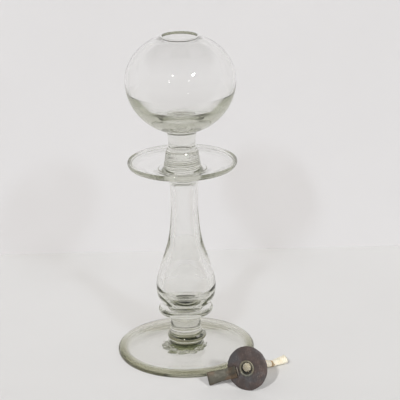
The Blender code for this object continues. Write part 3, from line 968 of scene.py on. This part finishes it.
def fibre(body, start, direction, length, radius, draw, droop=0.0):
    """One thin, slightly curly fibre with a pointed end."""
    point = Vector(start)
    heading = Vector(direction).normalized()
    steps = 5
    rings = []
    for i in range(steps + 1):
        side = heading.orthogonal().normalized()
        up = heading.cross(side)
        thin = radius * (1.0 - 0.8 * i / steps)
        ring = []
        for j in range(4):
            a = pi * j / 2
            ring.append((point + side * cos(a) * thin + up * sin(a) * thin) * MM)
        rings.append(ring)
        bend = Vector((draw.gauss(0, 1), draw.gauss(0, 1), draw.gauss(0, 1) - droop))
        heading = (heading + bend * 0.16).normalized()
        point = point + heading * length / steps
        point.z = max(point.z, radius + 0.05)
    body.loft(rings)


def frayed_end(body, centre, along, side, up, wide, high, count, length, draw):
    """The cut end of a wick: a brush of fibres of unequal length."""
    for _ in range(count):
        a = draw.uniform(0, 2 * pi)
        r = sqrt(draw.random())
        spot = centre + side * cos(a) * r * wide + up * sin(a) * r * high - along * 0.6
        spread = 0.32 * r
        heading = along + side * cos(a) * spread + up * sin(a) * spread
        fibre(body, spot, heading, draw.uniform(0.35, 1.0) * length, draw.uniform(0.05, 0.10), draw)


def loose_hairs(body, line, radius, count, draw):
    """Short fibres that stand a little off the twisted surface."""
    places = frames_along(line)
    for _ in range(count):
        i = draw.randrange(2, len(places) - 8)
        point, along, side, up = places[i]
        a = draw.uniform(0, 2 * pi)
        out = side * cos(a) + up * sin(a)
        around = side * -sin(a) + up * cos(a)
        wide, high = radius(i * TAIL_STEP)
        spot = point + side * cos(a) * wide * 0.95 + up * sin(a) * high * 0.95
        heading = along + around * draw.uniform(0.1, 0.9) + out * draw.uniform(0.05, 0.5)
        fibre(body, spot, heading, draw.uniform(1.2, 3.2), draw.uniform(0.03, 0.05), draw)


def cotton_material(name, pale, deep, shade):
    """Undyed cotton: pale crowns, painted shade in the hollows between its strands, and fine
    fibres.
    """
    material = new_material(name)
    n = Nodes(material.node_tree)
    place = n.add("ShaderNodeTexCoord").outputs["Object"]
    stain = n.add("ShaderNodeTexNoise", {"Vector": place, "Scale": 170.0, "Detail": 3.0}).outputs[0]
    fine = n.add("ShaderNodeTexNoise", {"Vector": place, "Scale": 1500.0, "Detail": 4.0,
                                        "Roughness": 0.7}).outputs[0]
    point = n.add("ShaderNodeNewGeometry").outputs["Pointiness"]
    colour = n.mix(n.ramp(stain, [(0.38, grey(0.0)), (0.66, grey(1.0))]), pale, deep)
    # painted shade: concave places, the grooves between the strands, are darkened towards the shade
    # colour
    hollow = n.ramp(point, [(0.42, grey(1.0)), (0.50, grey(0.0))])
    colour = n.mix(n.math("MULTIPLY", hollow, 0.8), colour, shade)
    colour = n.mix(n.ramp(fine, [(0.35, grey(0.35)), (0.6, grey(0.0))]), colour, deep)
    bump = n.add("ShaderNodeBump", {"Height": fine, "Distance": 0.15 * MM, "Strength": 0.7})
    shader = n.add("ShaderNodeBsdfPrincipled", {"Base Color": colour, "Roughness": 0.92,
                                                "Sheen Weight": 0.35, "Sheen Roughness": 0.5,
                                                "Subsurface Weight": 0.15,
                                                "Subsurface Radius": (0.0012, 0.0008, 0.0005),
                                                "Normal": bump.outputs[0]})
    n.output(shader.outputs[0])
    return material


def wick_piece(body, name, material):
    piece = body.make(name, [MATERIAL[material]])
    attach(piece, "wick")
    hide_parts(name)
    return piece


def wick():
    """The length of wick in the tube, with its frayed front end just out of the mouth."""
    start, back = wick_start()
    depth = -TUBE_BACK - 0.35
    line = evenly([start - back * 0.5, start + back * depth], 44)

    def radius(far):
        size = WICK_RADIUS + 0.25 * bell(far, -1.0, 0.0, 1.0, 4.0)
        return size, size
    body = Body()
    body.loft(yarn_rings(line, radius, 3.0))
    draw = Random(11)
    point, along, side, up = frames_along(line)[0]
    frayed_end(body, point, -along, side, up, 2.9, 2.7, 210, 1.9, draw)
    for _ in range(7):
        spot = point + side * draw.uniform(1.6, 2.8) - up * draw.uniform(1.0, 2.4)
        fibre(body, spot, -along + side * 0.5 - up * 0.8, draw.uniform(2.0, 3.6), 0.11, draw, 0.3)
    wick_piece(body, "wick", "greasy")


def tail_radius(far):
    """The tail's half width and half height: pinched by its thread, spread at its cut end."""
    pinch = 0.45 * bell(far, THREAD_AT - 3.0, THREAD_AT, THREAD_AT, THREAD_AT + 4.0)
    size = 2.75 - pinch + 0.85 * bell(far, THREAD_AT + 3.0, THREAD_AT + 16.0, 80.0, 90.0)
    flat = 0.12 * bell(far, 15.0, 24.0, 80.0, 90.0)
    return size * (1 + flat), size * (1 - flat)


def wick_tail():
    """The wick's lower length: a cord that leaves the tube and lies on the table."""
    line = tail_line()
    body = Body()
    body.loft(yarn_rings(line, tail_radius, 20.0))
    draw = Random(5)
    loose_hairs(body, line, tail_radius, 170, draw)
    point, along, side, up = frames_along(line)[-1]
    wide, high = tail_radius(line_length(line))
    frayed_end(body, point, along, side, up, wide * 0.95, high * 0.92, 260, 2.0, draw)
    piece = wick_piece(body, "wick_tail", "cotton")
    thread = wick_thread(line)


def wick_thread(line):
    """Three turns of tan thread that keep the strands together."""
    places = frames_along(line)
    turns = 3
    per_turn = 36
    rings = []
    for i in range(turns * per_turn + 1):
        a = 2 * pi * i / per_turn
        far = THREAD_AT + THREAD_PITCH * (a / (2 * pi) - turns / 2)
        k = min(int(far / TAIL_STEP), len(places) - 2)
        point, along, side, up = places[k]
        point = point.lerp(places[k + 1][0], far / TAIL_STEP - k)
        wide, high = tail_radius(far)
        out = side * cos(a) + up * sin(a)
        centre = point + side * cos(a) * (wide + 0.05) + up * sin(a) * (high + 0.05)
        ring = []
        for j in range(8):
            b = 2 * pi * j / 8
            ring.append((centre + (out * cos(b) + along * sin(b)) * THREAD_RADIUS) * MM)
        rings.append(ring)
    body = Body()
    body.loft(rings)
    return wick_piece(body, "wick_thread", "thread")


# ------------------------------------------------------------------ everything in order

add_camera()
add_lamps()
add_world()
add_floor()
add_wall()
set_render_look()
BURNER = burner_frame()
MATERIAL = {
    "glass": glass_material("lamp_glass", (0.935, 0.927, 0.918), BODY_FADING),
    "foot": glass_material("foot_glass", (0.955, 0.955, 0.95), FOOT_FADING, rim=FOOT_RIM_SHADE),
    "pan": glass_material("pan_glass", (0.955, 0.955, 0.95), BODY_FADING, rim=PAN_RIM_SHADE),
    "scar": glass_material("scar_glass", (0.90, 0.90, 0.88), SCAR_FADING_AND_SHADE),
    "fused": fused_material(),
    "disc": iron_material("disc_iron", (0.068, 0.055, 0.052, 1), (0.100, 0.073, 0.066, 1),
                          (0.074, 0.070, 0.072, 1), (0.210, 0.185, 0.170, 1)),
    "tube": iron_material("tube_iron", (0.120, 0.112, 0.085, 1), (0.170, 0.150, 0.105, 1),
                          (0.150, 0.150, 0.125, 1), (0.380, 0.360, 0.290, 1)),
    "handle": iron_material("tab_iron", (0.046, 0.038, 0.028, 1), (0.085, 0.057, 0.036, 1),
                            (0.066, 0.062, 0.048, 1), (0.150, 0.140, 0.110, 1), (0.25, 2.2, 1.0)),
    "solder": iron_material("solder_grey", (0.24, 0.23, 0.21, 1), (0.30, 0.28, 0.24, 1),
                            (0.26, 0.26, 0.26, 1), (0.50, 0.48, 0.44, 1), roughness=0.42),
    "bead": iron_material("bead_grey", (0.085, 0.078, 0.066, 1), (0.115, 0.090, 0.070, 1),
                          (0.100, 0.100, 0.090, 1), (0.190, 0.180, 0.160, 1)),
    "cotton": cotton_material("wick_cotton", (0.82, 0.77, 0.64, 1), (0.70, 0.62, 0.46, 1),
                              (0.40, 0.32, 0.21, 1)),
    "greasy": cotton_material("greasy_cotton", (0.46, 0.42, 0.31, 1), (0.33, 0.29, 0.20, 1),
                              (0.16, 0.13, 0.09, 1)),
    "thread": cotton_material("thread_cotton", (0.66, 0.50, 0.28, 1), (0.52, 0.37, 0.19, 1),
                              (0.30, 0.20, 0.10, 1)),
}
wick()
wick_tail()
build_burner()
build_glass()
